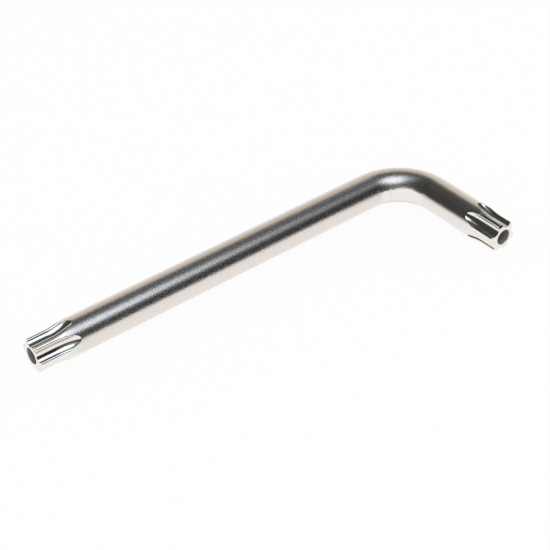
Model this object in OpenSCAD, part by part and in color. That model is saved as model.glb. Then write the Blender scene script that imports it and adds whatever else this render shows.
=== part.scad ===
// Star key: an L-shaped key of round steel bar, bent once, with a drilled six-lobed star at each end.
// The key lies flat on Z = 0, centred in X and Y. The long arm runs along X and its star points to -X.
// The short arm runs along Y and its star points to -Y.

/* [Bar] */
// Diameter of the round bar
bar_d = 7; // [6.8:0.1:9]
// Length over the long arm, from its end face to the far side of the short arm
long_reach = 91; // [60:1:160]
// Length over the short arm, from its end face to the far side of the long arm
short_reach = 31.8; // [28:0.1:60]
// Radius of the bend at the middle of the bar
bend_r = 9.8; // [7:0.1:16]

/* [Star] */
// Diameter over the lobes
star_d = 6.5; // [6.4:0.05:7]
// Diameter between opposite flutes
root_d = 4.5; // [4.4:0.05:5.2]
// Radius of the rounded lobe crests
crest_r = 0.45; // [0.4:0.05:0.7]
// Turn of the long arm's star about the arm, from a lobe lying in the plane of the bend
long_star_turn = 3; // [-30:1:30]
// Turn of the short arm's star about the arm, from a lobe lying in the plane of the bend
short_star_turn = 12; // [-30:1:30]

/* [Flutes] */
// Length of the long arm's flutes at full depth, from the end face
long_flute_len = 3.6; // [2.5:0.1:7]
// Length of the short arm's flutes at full depth, from the end face
short_flute_len = 3.1; // [2.5:0.1:7]
// Radius on which the flutes run out through the bar's surface
runout_r = 10; // [5:0.5:18]

/* [End] */
// Diameter of the flat end face
face_d = 5.3; // [5:0.1:6.2]
// Length of the chamfer between the end face and the lobes
chamfer_len = 0.3; // [0.2:0.1:1.2]

/* [Pin hole] */
// Diameter of the hole that clears a screw's centre pin
hole_d = 3.2; // [2.6:0.1:3.8]
// Depth of the hole at full diameter
hole_depth = 6.5; // [4:0.1:9]
// Angle of the drill point at the bottom of the hole
drill_angle = 118; // [90:1:140]

/* [Hidden] */
$fn = 96;
// Number of lobes on the star
lobes = 6;
// Height by which turning the bar trims the rounded crests to a narrow land
crest_trim = 0.02;
// Plain bar between the end of a star's flutes or hole and the arm
tip_land = 0.3;
// Overrun of every cut past the surface that it leaves
overrun = 1;
// Lap of an arc over the line or arc that it runs into, so that they cross at a clear corner
arc_lap = 0.001;
// Angle left free between the cuts of neighbouring flutes, outside the lobes
cut_gap = 1;

bar_r = bar_d / 2;
star_r = star_d / 2;
root_r = root_d / 2;
face_r = face_d / 2;
hole_r = hole_d / 2;

// Angle from a lobe to the flute beside it
half_pitch = 180 / lobes;
// Distance from the arm's axis to the centre of a lobe's crest
crest_centre = star_r + crest_trim - crest_r;
// Radius of a flute that meets the crests on both sides without a corner
flute_r = (pow(crest_r, 2) - pow(root_r, 2) - pow(crest_centre, 2) + root_d * crest_centre * cos(half_pitch))
        / (root_d - 2 * crest_centre * cos(half_pitch) - 2 * crest_r);
// Distance from the arm's axis to the centre of a flute
flute_centre = root_r + flute_r;
// Distance from the arm's axis to the outer corners of a flute's cut
cut_reach = flute_centre + flute_r + overrun;

// Distance from the arm's axis to the centre of the run-out
runout_centre = root_r + runout_r;
// Angle of the run-out where the flute's bottom meets the bar's surface
runout_angle = acos(1 - (bar_r - root_r) / runout_r);
// Angle at which the run-out's cut is clear of the bar on all sides
clear_angle = acos((runout_centre - max(bar_r, star_r) - overrun) / runout_r);
// Length over which the flutes run out
runout_len = runout_r * sin(runout_angle);
// Radius of the shoulder that rises from the lobes to the bar, no faster than the flute cuts lift beside it
shoulder_r = runout_r / cos(half_pitch);

// Height of the drill point
point_len = hole_r / tan(drill_angle / 2);
// Distance from the end face to the bottom of the hole
hole_end = hole_depth + point_len;

// Length of the piece of bar that carries each star
long_tip_len = max(long_flute_len + runout_len, hole_end) + tip_land;
short_tip_len = max(short_flute_len + runout_len, hole_end) + tip_land;
// Straight bar between each star and the bend
long_arm_len = long_reach - bar_r - bend_r - long_tip_len;
short_arm_len = short_reach - bar_r - bend_r - short_tip_len;

// Place of each end face, and the point where the axes of the two arms cross
long_end = [-long_reach / 2, short_reach / 2 - bar_r, bar_r];
short_end = [long_reach / 2 - bar_r, -short_reach / 2, bar_r];
corner = [short_end.x, long_end.y, bar_r];

// Outline of one flute's cut, on the +X side of a star, with the crests of the lobes on both sides.
module flute_outline() {
    crest_places = [for (side = [-1, 1]) crest_centre * [cos(half_pitch), side * sin(half_pitch)]];
    cut_side = half_pitch - cut_gap / 2;
    outer_places = [for (side = [1, -1]) cut_reach * [cos(cut_side), side * sin(cut_side)]];
    difference() {
        union() {
            polygon(concat([crest_places[0], [flute_centre, 0], crest_places[1]], outer_places));
            translate([flute_centre, 0]) circle(flute_r + arc_lap);
        }
        for (place = crest_places) translate(place) circle(crest_r);
    }
}

// One flute's cut: straight at full depth, then an arc that lifts it out through the bar's surface.
module flute_cut(flute_len) {
    translate([0, 0, -overrun]) linear_extrude(flute_len + overrun) flute_outline();
    translate([runout_centre, 0, flute_len])
        rotate([90, 0, 180])
            rotate_extrude(angle = clear_angle)
                translate([runout_centre, 0]) mirror([1, 0]) flute_outline();
}

// Turned end of the bar, before it is fluted: chamfer, lobe diameter, hollow shoulder, bar diameter.
module turned_end(flute_len, tip_len) {
    rotate_extrude()
        difference() {
            polygon([
                [0, 0],
                [face_r, 0],
                [star_r, chamfer_len],
                [star_r, flute_len],
                [bar_r, flute_len],
                [bar_r, tip_len],
                [0, tip_len]
            ]);
            translate([star_r + shoulder_r, flute_len]) circle(shoulder_r + arc_lap);
        }
}

// Drilled hole, open at the end face, with its conical bottom.
module pin_hole() {
    translate([0, 0, -overrun]) cylinder(h = hole_depth + overrun, r = hole_r);
    translate([0, 0, hole_depth]) cylinder(h = point_len, r1 = hole_r, r2 = 0);
}

// Star along +Z from its end face at Z = 0, with a lobe on the +X side.
module star_tip(flute_len, tip_len) {
    difference() {
        turned_end(flute_len, tip_len);
        for (flute = [0 : lobes - 1]) rotate((flute + 1 / 2) * 360 / lobes) flute_cut(flute_len);
        pin_hole();
    }
}

module long_star_tip() {
    color("gainsboro")
        translate(long_end)
            rotate([90, 0, 90])
                rotate(long_star_turn) star_tip(long_flute_len, long_tip_len);
}

module long_arm() {
    color("silver")
        translate(long_end + [long_tip_len, 0, 0])
            rotate([0, 90, 0]) cylinder(h = long_arm_len, r = bar_r);
}

module bend() {
    color("silver")
        translate(corner - [bend_r, bend_r, 0])
            rotate_extrude(angle = 90) translate([bend_r, 0]) circle(bar_r);
}

module short_arm() {
    color("silver")
        translate(short_end + [0, short_tip_len, 0])
            rotate([-90, 0, 0]) cylinder(h = short_arm_len, r = bar_r);
}

module short_star_tip() {
    color("gainsboro")
        translate(short_end)
            rotate([-90, 0, 0])
                rotate(short_star_turn) star_tip(short_flute_len, short_tip_len);
}

long_star_tip();
long_arm();
bend();
short_arm();
short_star_tip();
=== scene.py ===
import math

import bmesh
import bpy
from mathutils import Matrix, Vector


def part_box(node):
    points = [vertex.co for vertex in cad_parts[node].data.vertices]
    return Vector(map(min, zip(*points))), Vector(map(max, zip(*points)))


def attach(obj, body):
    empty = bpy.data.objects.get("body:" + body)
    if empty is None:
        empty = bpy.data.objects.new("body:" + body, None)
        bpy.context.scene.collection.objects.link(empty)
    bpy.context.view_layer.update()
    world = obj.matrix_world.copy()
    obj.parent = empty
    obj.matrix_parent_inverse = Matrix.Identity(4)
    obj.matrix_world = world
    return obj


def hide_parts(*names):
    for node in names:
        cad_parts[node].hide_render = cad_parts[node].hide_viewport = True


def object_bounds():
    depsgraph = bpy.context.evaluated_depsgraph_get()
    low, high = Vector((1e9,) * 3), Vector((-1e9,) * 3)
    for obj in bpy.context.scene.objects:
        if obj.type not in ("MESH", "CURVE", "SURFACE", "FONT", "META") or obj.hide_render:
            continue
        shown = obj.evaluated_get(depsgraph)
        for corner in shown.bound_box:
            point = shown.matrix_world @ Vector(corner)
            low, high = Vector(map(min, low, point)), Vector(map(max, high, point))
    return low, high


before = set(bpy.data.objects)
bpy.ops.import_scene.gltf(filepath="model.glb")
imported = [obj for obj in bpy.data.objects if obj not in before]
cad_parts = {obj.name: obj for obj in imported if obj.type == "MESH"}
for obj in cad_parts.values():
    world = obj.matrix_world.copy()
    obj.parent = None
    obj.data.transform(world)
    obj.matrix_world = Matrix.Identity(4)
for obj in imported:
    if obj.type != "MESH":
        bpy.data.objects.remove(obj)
cad_low, cad_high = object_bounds()

MM = 0.001

# Sizes of the bar, read from the CAD solids
BAR_R = (cad_high.z - cad_low.z) / 2
LONG_TIP_LOW, LONG_TIP_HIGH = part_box("long_star_tip")
SHORT_TIP_LOW, SHORT_TIP_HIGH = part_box("short_star_tip")
BEND_LOW, BEND_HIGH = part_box("bend")
LONG_END = Vector((LONG_TIP_LOW.x, cad_high.y - BAR_R, BAR_R))
SHORT_END = Vector((cad_high.x - BAR_R, SHORT_TIP_LOW.y, BAR_R))
LONG_TIP_LEN = LONG_TIP_HIGH.x - LONG_TIP_LOW.x
SHORT_TIP_LEN = SHORT_TIP_HIGH.y - SHORT_TIP_LOW.y
BEND_R = BEND_HIGH.x - BEND_LOW.x - BAR_R
BEND_CENTRE = Vector((BEND_LOW.x, BEND_LOW.y, BAR_R))

# Sizes of the stars, as in the part's source
LOBES = 6
STAR_R = 3.25 * MM
ROOT_R = 2.25 * MM
CREST_R = 0.45 * MM
CREST_TRIM = 0.02 * MM
RUNOUT_R = 10 * MM
TIP_LAND = 0.3 * MM
FACE_R = 2.65 * MM
CHAMFER_LEN = 0.3 * MM
HOLE_R = 1.6 * MM
HOLE_DEPTH = 6.5 * MM
DRILL_ANGLE = math.radians(118)
LONG_STAR_TURN = math.radians(3)
SHORT_STAR_TURN = math.radians(12)

# Sizes that follow from them
HALF_PITCH = math.pi / LOBES
CREST_CENTRE = STAR_R + CREST_TRIM - CREST_R
FLUTE_R = (
    CREST_R**2 - ROOT_R**2 - CREST_CENTRE**2 + 2 * ROOT_R * CREST_CENTRE * math.cos(HALF_PITCH)
) / (2 * ROOT_R - 2 * CREST_CENTRE * math.cos(HALF_PITCH) - 2 * CREST_R)
FLUTE_CENTRE = ROOT_R + FLUTE_R
CREST_X = CREST_CENTRE * math.cos(HALF_PITCH)
CREST_Y = CREST_CENTRE * math.sin(HALF_PITCH)
TANGENT_Y = CREST_Y * FLUTE_R / (FLUTE_R + CREST_R)
RUNOUT_CENTRE = ROOT_R + RUNOUT_R
RUNOUT_LEN = math.sqrt(RUNOUT_R**2 - (RUNOUT_CENTRE - BAR_R) ** 2)
SHOULDER_R = RUNOUT_R / math.cos(HALF_PITCH)
SHOULDER_LEN = math.sqrt(SHOULDER_R**2 - (SHOULDER_R - BAR_R + STAR_R) ** 2)
HOLE_END = HOLE_DEPTH + HOLE_R / math.tan(DRILL_ANGLE / 2)

# Rounding that forming and plating leave on the edges
EDGE_ROUND = 0.07 * MM
RIM_ROUND = 0.06 * MM
# Distance from both faces to the middle of a rounded rim
RIM_MIDDLE = 0.3 * RIM_ROUND

# Marks of the bending tool's edges on the inside of the bend, at angles from the short arm
PRESS_MARKS = [math.radians(2.5), math.radians(65.5)]
PRESS_WIDTH = 0.25 * MM
PRESS_DEPTH = 0.03 * MM
# Edge of what the tool has touched, as shares of the bar's radius towards the bend's centre
PRESS_EDGE = (0.88, 0.95)
# Shares of the blasting that the tool has pressed smooth inside the bend and on the short arm
PRESS_SHARE = 0.8
GRIP_SHARE = 0.35
# Angles from the short arm over which each of them fades
PRESS_FADE = (math.radians(75), math.radians(90))
GRIP_FADE = (0, math.radians(30))

# Counts and limits of the meshes
RING = 144
BEND_STEPS = 96
SOLVE_STEPS = 40
HOLE_ROWS = 14
# Shares of the drill point and of the end face at which rows of the mesh lie
CONE_SHARES = (0, 0.35, 0.7)
FACE_SHARES = (0, 0.1, 0.4, 0.7, 0.92, 1)
# Length of the flutes' points, where the rows lie closer
POINT_LEN = 0.6 * MM
# Least angle that the columns of a land or a flute keep
LEAST_ANGLE = math.radians(0.4)
# Gaps that are closed where a strip is mirrored and where the lobes meet
MIRROR_GAP = 0.0001 * MM
LOBE_GAP = 0.0002 * MM
# Angle between two faces from which their edge is drawn sharp
SHARP_ANGLE = math.radians(60)


# Shape of a star tip

def soft_min(a, b, reach):
    """Smaller of two radii, with the corner where they cross rounded off."""
    near = max(reach - abs(a - b), 0) / reach
    return min(a, b) - near * near * reach / 4


def smooth_step(start, end, place):
    """Share from 0 at the start to 1 at the end, level at both."""
    share = min(max((place - start) / (end - start), 0), 1)
    return share * share * (3 - 2 * share)


def halve(low, high, is_low):
    """Place between low and high where a test turns from true to false."""
    for _ in range(SOLVE_STEPS):
        middle = (low + high) / 2
        if is_low(middle):
            low = middle
        else:
            high = middle
    return (low + high) / 2


def even_steps(start, end, count):
    """Places after start, up to end."""
    return [start + (end - start) * (step + 1) / count for step in range(count)]


# Shares of the lobe's land and of the flute's wall at which the columns of the mesh lie
LAND_SHARES = [0, 0.3, 0.55, 0.75, 0.88, 0.95, 1]
WALL_SHARES = [
    0.015,
    0.03,
    *even_steps(0.03, 0.31, 14),
    *even_steps(0.31, 0.5, 6),
    *even_steps(0.5, 1, 10),
]
COLUMNS = len(LAND_SHARES) + len(WALL_SHARES) - 1
LAND_COLUMNS = len(LAND_SHARES) - 1


class StarShape:
    """Surface of a star tip.

    Depths run from the end face into the bar, angles from the middle of a lobe.
    """

    def __init__(self, tip_len):
        self.tip_len = tip_len
        self.flute_end = tip_len - TIP_LAND
        self.flute_len = self.flute_end - RUNOUT_LEN
        self.shoulder_end = self.flute_len + SHOULDER_LEN

    def turned_r(self, depth):
        """Radius of the turned end: chamfer, lobes, hollow shoulder, bar."""
        chamfer = FACE_R + (STAR_R - FACE_R) * depth / CHAMFER_LEN
        rise = min(max(depth - self.flute_len, 0), SHOULDER_LEN)
        shoulder = STAR_R + SHOULDER_R - math.sqrt(SHOULDER_R**2 - rise**2)
        return soft_min(chamfer, min(shoulder, BAR_R), EDGE_ROUND)

    def cut_x(self, y, depth):
        """Height of a flute's floor, at a distance beside the flute's middle."""
        if y < TANGENT_Y:
            x = FLUTE_CENTRE - math.sqrt(FLUTE_R**2 - y**2)
        else:
            x = CREST_X + math.sqrt(max(CREST_R**2 - (y - CREST_Y) ** 2, 0))
        lift = max(depth - self.flute_len, 0)
        return RUNOUT_CENTRE - math.sqrt((RUNOUT_CENTRE - x) ** 2 - lift**2)

    def cut_r(self, angle, depth):
        """Radius at which a flute's floor lies."""
        turn = HALF_PITCH - angle

        def below_floor(radius):
            floor = self.cut_x(radius * math.sin(turn), depth)
            return radius * math.cos(turn) < floor

        return halve(ROOT_R / 2, BAR_R * 2, below_floor)

    def surface_r(self, angle, depth):
        """Radius of the finished surface."""
        return soft_min(self.turned_r(depth), self.cut_r(angle, depth), EDGE_ROUND)

    def column_angles(self, depth):
        """Angles of the columns, which follow the edge between the lobe's land and the flute."""
        radius = self.turned_r(depth)
        edge = halve(0, HALF_PITCH, lambda angle: self.cut_r(angle, depth) > radius)
        edge = min(max(edge, LEAST_ANGLE), HALF_PITCH - LEAST_ANGLE)
        land = [share * edge for share in LAND_SHARES]
        wall = [edge + share * (HALF_PITCH - edge) for share in WALL_SHARES]
        return land + wall

    def rows(self):
        """Rows of the strip of surface from the drill point to the middle of the back.

        Each row is its depth, the depth whose columns it uses, its radius at an angle, and the
        finish of the faces after it.
        """
        rows = []
        mouth = HOLE_R + RIM_ROUND

        def add_row(depth, radius, finish, like=RIM_ROUND):
            rows.append((depth, like, radius, finish))

        def fixed(radius):
            return lambda angle: radius

        def outline(inset):
            return lambda angle: self.surface_r(angle, RIM_ROUND) - inset

        def across(share):
            return lambda angle: mouth + (outline(RIM_ROUND)(angle) - mouth) * share

        def side(depth):
            return lambda angle: self.surface_r(angle, depth)

        for share in CONE_SHARES:
            depth = HOLE_END + (HOLE_DEPTH - HOLE_END) * share
            add_row(depth, fixed(HOLE_R * share), "drilled")
        for depth in [HOLE_DEPTH] + even_steps(HOLE_DEPTH, RIM_ROUND, HOLE_ROWS)[:-1]:
            add_row(depth, fixed(HOLE_R), "drilled")
        add_row(RIM_ROUND, fixed(HOLE_R), "bright")
        add_row(RIM_MIDDLE, fixed(HOLE_R + RIM_MIDDLE), "bright")
        for share in FACE_SHARES:
            add_row(0, across(share), "bright")
        add_row(RIM_MIDDLE, outline(RIM_MIDDLE), "bright")

        # Ends of the stretches along the side, from the chamfer to the bar, and their rows
        stretches = [
            (CHAMFER_LEN - EDGE_ROUND, 6),
            (CHAMFER_LEN + EDGE_ROUND, 4),
            (self.flute_len, 8),
            (self.shoulder_end, 14),
            (self.flute_end - POINT_LEN, 24),
            (self.flute_end, 14),
            (self.tip_len, 2),
        ]
        start = RIM_ROUND
        depths = [start]
        for end, count in stretches:
            depths += even_steps(start, end, count)
            start = end
        for depth in depths:
            add_row(depth, side(depth), "formed", depth)
        add_row(self.tip_len, fixed(0), "formed", self.tip_len)
        return rows


# Pieces

FINISHES = ["blasted", "bright", "drilled"]


def add_object(name, bm, materials):
    """Object made of a bmesh."""
    mesh = bpy.data.meshes.new(name)
    bm.to_mesh(mesh)
    bm.free()
    for material in materials:
        mesh.materials.append(material)
    made = bpy.data.objects.new(name, mesh)
    bpy.context.scene.collection.objects.link(made)
    return made


def finish_piece(bm, name, node, finishes):
    """Object made of a bmesh, in the place of a CAD node."""
    for edge in bm.edges:
        edge.smooth = len(edge.link_faces) == 2 and edge.calc_face_angle() < SHARP_ANGLE
    piece = add_object(name, bm, finishes)
    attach(piece, "root")
    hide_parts(node)


def star_tip(name, node, tip_len, place, grip, finishes):
    """Closed star tip: a strip of half a lobe, mirrored and spun round the hole."""
    shape = StarShape(tip_len)
    rows = shape.rows()
    bm = bmesh.new()
    bmesh.ops.create_grid(bm, x_segments=COLUMNS, y_segments=len(rows) - 1, size=1)

    def cell(point, count, axis):
        """Place of a point of the grid, counted in cells."""
        return (point[axis] + 1) / 2 * count

    for face in bm.faces:
        middle = face.calc_center_median()
        column = int(cell(middle, COLUMNS, 0))
        row = int(cell(middle, len(rows) - 1, 1))
        depth, _, _, finish = rows[row]
        if finish == "formed":
            on_bar = column < LAND_COLUMNS and depth >= shape.flute_len
            finish = "blasted" if on_bar else "bright"
        face.material_index = FINISHES.index(finish)
        face.smooth = True
    angles = [shape.column_angles(like) for _, like, _, _ in rows]
    for vert in bm.verts:
        column = round(cell(vert.co, COLUMNS, 0))
        row = round(cell(vert.co, len(rows) - 1, 1))
        depth, _, radius, _ = rows[row]
        angle = angles[row][column]
        reach = radius(angle)
        vert.co = (reach * math.cos(angle), reach * math.sin(angle), depth)
    strip = bm.verts[:] + bm.edges[:] + bm.faces[:]
    bmesh.ops.mirror(bm, geom=strip, axis="Y", merge_dist=MIRROR_GAP)
    lobe = bm.verts[:] + bm.edges[:] + bm.faces[:]
    bmesh.ops.spin(
        bm,
        geom=lobe,
        cent=(0, 0, 0),
        axis=(0, 0, 1),
        angle=2 * math.pi * (LOBES - 1) / LOBES,
        steps=LOBES - 1,
        use_duplicate=True,
    )
    bmesh.ops.remove_doubles(bm, verts=bm.verts, dist=LOBE_GAP)
    bmesh.ops.recalc_face_normals(bm, faces=bm.faces)
    # Places in the tip's own axes, and the share of the blasting that forming has pressed smooth
    tip_place = bm.verts.layers.float_vector.new("tip_place")
    pressed = bm.verts.layers.float.new("pressed")
    for vert in bm.verts:
        vert[tip_place] = vert.co
        away = smooth_step(shape.flute_len, shape.shoulder_end + SHOULDER_LEN, vert.co.z)
        vert[pressed] = 1 - (1 - grip) * away
    bmesh.ops.transform(bm, matrix=place, verts=bm.verts)
    finish_piece(bm, name, node, finishes)


def straight_arm(name, node, start, end, grip, finishes):
    """Straight round bar between two points."""
    bm = bmesh.new()
    run = end - start
    bmesh.ops.create_cone(
        bm, cap_ends=True, segments=RING, radius1=BAR_R, radius2=BAR_R, depth=run.length
    )
    for face in bm.faces:
        face.smooth = True
    shift = Matrix.Translation((start + end) / 2)
    turn = run.to_track_quat("Z", "Y").to_matrix().to_4x4()
    bmesh.ops.transform(bm, matrix=shift @ turn, verts=bm.verts)
    pressed = bm.verts.layers.float.new("pressed")
    for vert in bm.verts:
        vert[pressed] = grip
    finish_piece(bm, name, node, finishes)


def bent_bar(name, node, finishes):
    """Quarter turn of the bar, spun about the centre of the bend."""
    bm = bmesh.new()
    bmesh.ops.create_circle(bm, cap_ends=False, segments=RING, radius=BAR_R)
    shift = Matrix.Translation(BEND_CENTRE + Vector((BEND_R, 0, 0)))
    turn = Matrix.Rotation(math.pi / 2, 4, "X")
    bmesh.ops.transform(bm, matrix=shift @ turn, verts=bm.verts)
    bmesh.ops.spin(
        bm,
        geom=bm.verts[:] + bm.edges[:],
        cent=BEND_CENTRE,
        axis=(0, 0, 1),
        angle=math.pi / 2,
        steps=BEND_STEPS,
    )
    rims = [edge for edge in bm.edges if edge.is_boundary]
    bmesh.ops.holes_fill(bm, edges=rims, sides=RING)
    bmesh.ops.recalc_face_normals(bm, faces=bm.faces)
    for face in bm.faces:
        face.smooth = True
    # Shares by which bending has stretched the blasted skin and the tool has pressed it smooth,
    # and the grooves of the tool's marks
    stretched = bm.verts.layers.float.new("stretched")
    pressed = bm.verts.layers.float.new("pressed")
    for vert in bm.verts:
        reach = vert.co - BEND_CENTRE
        angle = math.atan2(reach.y, reach.x)
        middle = BEND_CENTRE + BEND_R * Vector((math.cos(angle), math.sin(angle), 0))
        inside = smooth_step(*PRESS_EDGE, (BEND_R - reach.xy.length) / BAR_R)
        far = min(abs(angle - mark) for mark in PRESS_MARKS) * (BEND_R - BAR_R)
        mark = inside * (1 - smooth_step(0, PRESS_WIDTH, far))
        press = PRESS_SHARE * inside * (1 - smooth_step(*PRESS_FADE, angle))
        if angle <= PRESS_MARKS[0]:
            press = 0
        grip = GRIP_SHARE * (1 - smooth_step(*GRIP_FADE, angle))
        vert[stretched] = math.sin(2 * angle) ** 2
        # In the marks the skin keeps the bar's darker tint and duller sheen, so they show as faint
        # darker lines
        vert[pressed] = max(grip, press) * (1 - mark)
        vert.co += (middle - vert.co).normalized() * PRESS_DEPTH * mark
    finish_piece(bm, name, node, finishes)


# Materials

# Blasting leaves pits of about 0.05 mm; they are drawn at 0.22 mm, or they wouldn't show
GRAIN_SIZE = 0.22 * MM
GRAIN_DEPTH = 0.02 * MM
# Share of the grain's depth that is left where the skin is pressed smooth
PRESSED_DEPTH = 0.1
# The die draws lines of some hundredths of a millimetre; they are drawn at 0.2 mm, and 5 mm long
LINE_WIDTH = 0.2 * MM
LINE_LEN = 5 * MM
LINE_DEPTH = 0.004 * MM
# Rings from the drill's feed
RING_PITCH = 0.3 * MM
RING_DEPTH = 0.02 * MM
# Roughness of each finish, from its brightest to its dullest places
BLASTED_ROUGHNESS = (0.2, 0.33)
PRESSED_ROUGHNESS = 0.1
BRIGHT_ROUGHNESS = (0.05, 0.1)
DRILLED_ROUGHNESS = 0.5
# Roughness that stretching adds
STRETCH_ROUGHNESS = 0.04
# The drill leaves a dull skin, so the hole isn't wholly a bare metal
DRILLED_METALLIC = 0.6
# Values between which nearly all of a noise lies
NOISE_SPREAD = (0.3, 0.7)


def colour(text):
    """Linear colour from an sRGB hex value."""
    parts = [int(text[place : place + 2], 16) / 255 for place in (1, 3, 5)]
    linear = [
        part / 12.92 if part <= 0.04045 else ((part + 0.055) / 1.055) ** 2.4 for part in parts
    ]
    return (*linear, 1)


def add_node(tree, kind, inputs=None, stops=(), **settings):
    """Node with its settings and a ramp's stops.

    Its inputs are values or the outputs of other nodes.
    """
    node = tree.nodes.new(kind)
    for key, value in settings.items():
        setattr(node, key, value)
    for key, value in (inputs or {}).items():
        if isinstance(value, bpy.types.NodeSocket):
            tree.links.new(value, node.inputs[key])
        else:
            node.inputs[key].default_value = value
    for index, (place, text) in enumerate(stops):
        points = node.color_ramp.elements
        point = points[index] if index < len(points) else points.new(place)
        point.position = place
        point.color = colour(text)
    return node


def mix_colours(tree, share, first, second):
    """Colour between two others, through the colour sockets of a Mix node."""
    return add_node(
        tree, "ShaderNodeMix", {"Factor": share, 6: first, 7: second}, data_type="RGBA"
    ).outputs[2]


def noise_roughness(tree, noise, spread):
    """Roughness that follows a noise between two values."""
    return add_node(
        tree,
        "ShaderNodeMapRange",
        {
            "Value": noise,
            "From Min": NOISE_SPREAD[0],
            "From Max": NOISE_SPREAD[1],
            "To Min": spread[0],
            "To Max": spread[1],
        },
    ).outputs[0]


def bump(tree, height, depth, strength=1):
    """Normal that a pattern of a real depth tilts."""
    return add_node(
        tree, "ShaderNodeBump", {"Height": height, "Strength": strength, "Distance": depth}
    ).outputs["Normal"]


def new_material(name):
    """Empty material and its node tree."""
    material = bpy.data.materials.new(name)
    material.use_nodes = True
    material.node_tree.nodes.clear()
    return material, material.node_tree


def add_metal(tree, base, metallic, roughness, normal):
    """Shader of a metal, as the material's surface."""
    shader = add_node(
        tree,
        "ShaderNodeBsdfPrincipled",
        {"Base Color": base, "Metallic": metallic, "Roughness": roughness, "Normal": normal},
    )
    add_node(tree, "ShaderNodeOutputMaterial", {"Surface": shader.outputs["BSDF"]})


def blasted_nickel():
    """Nickel plate over finely blasted steel: a soft, slightly warm sheen with a sandy sparkle."""
    material, tree = new_material("blasted_nickel_plate")
    place = add_node(tree, "ShaderNodeTexCoord").outputs["Object"]
    pressed = add_node(tree, "ShaderNodeAttribute", attribute_name="pressed").outputs["Fac"]
    stretched = add_node(tree, "ShaderNodeAttribute", attribute_name="stretched").outputs["Fac"]
    grain = add_node(
        tree,
        "ShaderNodeTexNoise",
        {"Vector": place, "Scale": 1 / GRAIN_SIZE, "Detail": 1, "Roughness": 0.6},
    ).outputs["Fac"]
    # The floor of a pit is smoother than the rims around it
    dullness = noise_roughness(tree, grain, BLASTED_ROUGHNESS)
    # The bend is a little duller than the arms
    dullness = add_node(
        tree,
        "ShaderNodeMath",
        {0: stretched, 1: STRETCH_ROUGHNESS, 2: dullness},
        operation="MULTIPLY_ADD",
    ).outputs[0]
    roughness = add_node(
        tree, "ShaderNodeMix", {"Factor": pressed, 2: dullness, 3: PRESSED_ROUGHNESS}
    ).outputs[0]
    strength = add_node(
        tree, "ShaderNodeMapRange", {"Value": pressed, "To Min": 1, "To Max": PRESSED_DEPTH}
    ).outputs[0]
    # Pressed plate is closer, so it throws back a little more
    tint = mix_colours(tree, pressed, colour("#E6DFD9"), colour("#F0EEEA"))
    add_metal(tree, tint, 1, roughness, bump(tree, grain, GRAIN_DEPTH, strength))
    return material


def bright_nickel():
    """Nickel plate over formed steel: nearly a mirror, with faint lines along the flutes."""
    material, tree = new_material("bright_nickel_plate")
    place = add_node(tree, "ShaderNodeAttribute", attribute_name="tip_place").outputs["Vector"]
    drawn = add_node(
        tree,
        "ShaderNodeVectorMath",
        {0: place, 1: (1, 1, LINE_WIDTH / LINE_LEN)},
        operation="MULTIPLY",
    ).outputs[0]
    lines = add_node(
        tree, "ShaderNodeTexNoise", {"Vector": drawn, "Scale": 1 / LINE_WIDTH, "Detail": 1}
    ).outputs["Fac"]
    roughness = noise_roughness(tree, lines, BRIGHT_ROUGHNESS)
    add_metal(tree, colour("#EDE8E2"), 1, roughness, bump(tree, lines, LINE_DEPTH))
    return material


def drilled_steel():
    """Steel as the drill leaves it: grey and dull, with rings from the drill's feed."""
    material, tree = new_material("drilled_steel")
    place = add_node(tree, "ShaderNodeAttribute", attribute_name="tip_place").outputs["Vector"]
    # The wave's own pitch is a tenth of pi
    rings = add_node(
        tree,
        "ShaderNodeTexWave",
        {"Vector": place, "Scale": math.pi / 10 / RING_PITCH, "Distortion": 1.5, "Detail": 2},
        bands_direction="Z",
    ).outputs["Fac"]
    normal = bump(tree, rings, RING_DEPTH)
    add_metal(tree, colour("#B0AAA3"), DRILLED_METALLIC, DRILLED_ROUGHNESS, normal)
    return material


# Studio

FLOOR_R = 6
FLOOR_SIDES = 96
# Share of plain white in the floor that the camera sees; the rest of it takes the shadow
FLOOR_WHITE = 0.94

TENT_R = 1.2
TENT_SIDES = 64
# Height of the tent's lower edge, just clear of the floor
TENT_FOOT = 0.5 * MM
# Colours of the room by height, as shares of the tent's radius: all round, on its dark side in
# front and on the pale wall behind the key
ROOM_TONES = [(0, "#FFFFFF"), (0.06, "#B0ACA8"), (0.12, "#3E403F")]
DARK_TONES = [(0, "#FFFFFF"), (0.04, "#2A292B")]
WALL_TONES = [
    (0, "#FFFFFF"),
    (0.08, "#F2F0EC"),
    (0.25, "#E3E1DB"),
    (0.45, "#DCD5CC"),
    (0.65, "#D2C4B7"),
]
# Angles from +X to the middle of the dark side and of the wall, with their half widths and the
# softness of their edges, in degrees
DARK_SIDE = (308, 38, 10)
WALL_SIDE = (57, 47, 8)
# Heights between which the wall ends
WALL_TOP = (0.65, 0.73)
# Patches of the room: direction from the key, half width and softness in degrees, colour. Each
# lies over those before it.
ROOM_PATCHES = [
    # Dim light low down in front
    ((-0.126, -0.897, 0.423), 16, 10, "#606062"),
    # White ground that rises in front, on the camera's left
    ((-0.692, -0.503, -0.518), 49, 4, "#FFFFFF"),
    # Dim light that the softbox throws on the room round it, in front of it and on its right
    ((-0.07, -0.37, 0.926), 27, 11, "#62666B"),
    ((-0.2, -0.56, 0.804), 13.5, 8, "#BEC2C6"),
    ((0.5, 0.1, 0.86), 27, 12, "#495359"),
    ((0.56, -0.36, 0.746), 8.5, 8, "#767B80"),
    # Ceiling that the softbox lights, straight above the key
    ((0, 0, 1), 11.5, 8, "#95A3A0"),
]

LAMP_PLACE = Vector((0.027, -0.24, 0.6))
LAMP_WIDTH = 0.51
LAMP_POWER = 0.85

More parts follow.
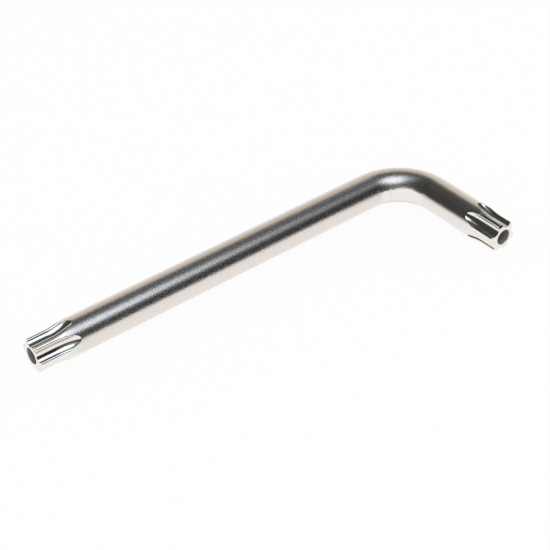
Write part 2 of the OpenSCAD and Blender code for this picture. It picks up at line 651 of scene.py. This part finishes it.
# Camera that was fitted to the photo
CAMERA_PLACE = (-0.11431, -0.149055, 0.15531)
CAMERA_TURN = (51.4985, 1.2944, -38.2137)
CAMERA_LENS = 85.71
CAMERA_SENSOR = 36


def studio_floor():
    """White floor, with a faint shadow."""
    bm = bmesh.new()
    bmesh.ops.create_circle(bm, cap_ends=True, segments=FLOOR_SIDES, radius=FLOOR_R)
    material, tree = new_material("white_floor")
    path = add_node(tree, "ShaderNodeLightPath").outputs
    share = add_node(
        tree,
        "ShaderNodeMath",
        {0: path["Is Camera Ray"], 1: FLOOR_WHITE, 2: path["Is Glossy Ray"]},
        operation="MULTIPLY_ADD",
    )
    lit = add_node(tree, "ShaderNodeBsdfDiffuse", {"Color": colour("#E8E8E8")})
    white = add_node(tree, "ShaderNodeEmission", {"Color": colour("#FFFFFF"), "Strength": 1})
    mixed = add_node(
        tree, "ShaderNodeMixShader", {0: share.outputs[0], 1: lit.outputs[0], 2: white.outputs[0]}
    )
    add_node(tree, "ShaderNodeOutputMaterial", {"Surface": mixed.outputs[0]})
    floor = add_object("studio_floor", bm, [material])


def share_near(tree, way, middle, half_width, softness):
    """Share that is 1 near a direction and 0 away from it, with its edge at half_width."""
    along = add_node(tree, "ShaderNodeVectorMath", {0: way, 1: middle}, operation="DOT_PRODUCT")
    outer, inner = (math.cos(math.radians(half_width + side * softness)) for side in (1, -1))
    return add_node(
        tree,
        "ShaderNodeMapRange",
        {"Value": along.outputs["Value"], "From Min": outer, "From Max": inner},
        interpolation_type="SMOOTHSTEP",
    ).outputs[0]


def studio_tent():
    """Dark room around the floor, with a pale wall behind the key, as metal shows it."""
    bm = bmesh.new()
    bmesh.ops.create_uvsphere(
        bm, u_segments=TENT_SIDES, v_segments=TENT_SIDES // 2, radius=TENT_R
    )
    bmesh.ops.bisect_plane(
        bm,
        geom=bm.verts[:] + bm.edges[:] + bm.faces[:],
        plane_co=(0, 0, TENT_FOOT),
        plane_no=(0, 0, 1),
        clear_inner=True,
    )
    material, tree = new_material("dark_tent")
    place = add_node(tree, "ShaderNodeTexCoord").outputs["Object"]
    way = add_node(tree, "ShaderNodeVectorMath", {0: place}, operation="NORMALIZE").outputs[0]
    height = add_node(tree, "ShaderNodeSeparateXYZ", {0: way}).outputs["Z"]
    flat = add_node(tree, "ShaderNodeVectorMath", {0: way, 1: (1, 1, 0)}, operation="MULTIPLY")
    flat = add_node(tree, "ShaderNodeVectorMath", {0: flat.outputs[0]}, operation="NORMALIZE")

    def by_height(stops):
        return add_node(tree, "ShaderNodeValToRGB", {"Fac": height}, stops).outputs["Color"]

    def beside(azimuth, half_width, softness):
        turn = math.radians(azimuth)
        level = (math.cos(turn), math.sin(turn), 0)
        return share_near(tree, flat.outputs[0], level, half_width, softness)

    tone = mix_colours(tree, beside(*DARK_SIDE), by_height(ROOM_TONES), by_height(DARK_TONES))
    for middle, half_width, softness, text in ROOM_PATCHES:
        share = share_near(tree, way, middle, half_width, softness)
        tone = mix_colours(tree, share, tone, colour(text))
    below_top = add_node(
        tree,
        "ShaderNodeMapRange",
        {"Value": height, "From Min": WALL_TOP[1], "From Max": WALL_TOP[0]},
    )
    on_wall = add_node(
        tree,
        "ShaderNodeMath",
        {0: below_top.outputs[0], 1: beside(*WALL_SIDE)},
        operation="MULTIPLY",
    )
    tone = mix_colours(tree, on_wall.outputs[0], tone, by_height(WALL_TONES))
    glow = add_node(tree, "ShaderNodeEmission", {"Color": tone, "Strength": 1})
    add_node(tree, "ShaderNodeOutputMaterial", {"Surface": glow.outputs[0]})
    tent = add_object("studio_tent", bm, [material])
    # Only reflections show the tent
    tent.visible_camera = False
    tent.visible_diffuse = False
    tent.visible_shadow = False


def studio_lamp():
    """Large round softbox above the key and in front of it."""
    light = bpy.data.lights.new("softbox", "AREA")
    light.shape = "DISK"
    light.size = LAMP_WIDTH
    light.energy = LAMP_POWER
    light.color = colour("#EAF1FF")[:3]
    lamp = bpy.data.objects.new("softbox", light)
    lamp.location = LAMP_PLACE
    lamp.rotation_euler = LAMP_PLACE.to_track_quat("Z", "Y").to_euler()
    lamp.visible_camera = False
    bpy.context.scene.collection.objects.link(lamp)


def white_world():
    """White beyond the floor."""
    world = bpy.data.worlds.new("white_world")
    world.use_nodes = True
    tree = world.node_tree
    tree.nodes.clear()
    back = add_node(tree, "ShaderNodeBackground", {"Color": colour("#FFFFFF"), "Strength": 1})
    add_node(tree, "ShaderNodeOutputWorld", {"Surface": back.outputs[0]})
    bpy.context.scene.world = world


def photo_camera():
    """Camera that sees the key as the photo does."""
    lens = bpy.data.cameras.new("photo_camera")
    lens.lens = CAMERA_LENS
    lens.sensor_width = CAMERA_SENSOR
    lens.clip_start = 0.01
    lens.clip_end = 100
    camera = bpy.data.objects.new("photo_camera", lens)
    camera.location = CAMERA_PLACE
    camera.rotation_euler = [math.radians(turn) for turn in CAMERA_TURN]
    bpy.context.scene.collection.objects.link(camera)
    bpy.context.scene.camera = camera


blasted = blasted_nickel()
bright = bright_nickel()
drilled = drilled_steel()
# In the order of FINISHES
tip_finishes = [blasted, bright, drilled]

# A tip stands with its depth along +Z and a lobe on +X: these turns lay it along its arm
LONG_LAY = Matrix(((0, 0, 1), (1, 0, 0), (0, 1, 0))).to_4x4()
SHORT_LAY = Matrix(((1, 0, 0), (0, 0, 1), (0, -1, 0))).to_4x4()
star_tip(
    "long_star",
    "long_star_tip",
    LONG_TIP_LEN,
    Matrix.Translation(LONG_END) @ LONG_LAY @ Matrix.Rotation(LONG_STAR_TURN, 4, "Z"),
    0,
    tip_finishes,
)
star_tip(
    "short_star",
    "short_star_tip",
    SHORT_TIP_LEN,
    Matrix.Translation(SHORT_END) @ SHORT_LAY @ Matrix.Rotation(SHORT_STAR_TURN, 4, "Z"),
    GRIP_SHARE,
    tip_finishes,
)
straight_arm(
    "long_bar",
    "long_arm",
    LONG_END + Vector((LONG_TIP_LEN, 0, 0)),
    Vector((BEND_LOW.x, LONG_END.y, BAR_R)),
    0,
    [blasted],
)
bent_bar("bent_bar", "bend", [blasted])
straight_arm(
    "short_bar",
    "short_arm",
    SHORT_END + Vector((0, SHORT_TIP_LEN, 0)),
    Vector((SHORT_END.x, BEND_LOW.y, BAR_R)),
    GRIP_SHARE,
    [blasted],
)

studio_floor()
studio_tent()
studio_lamp()
white_world()
photo_camera()
bpy.context.scene.view_settings.view_transform = "Standard"
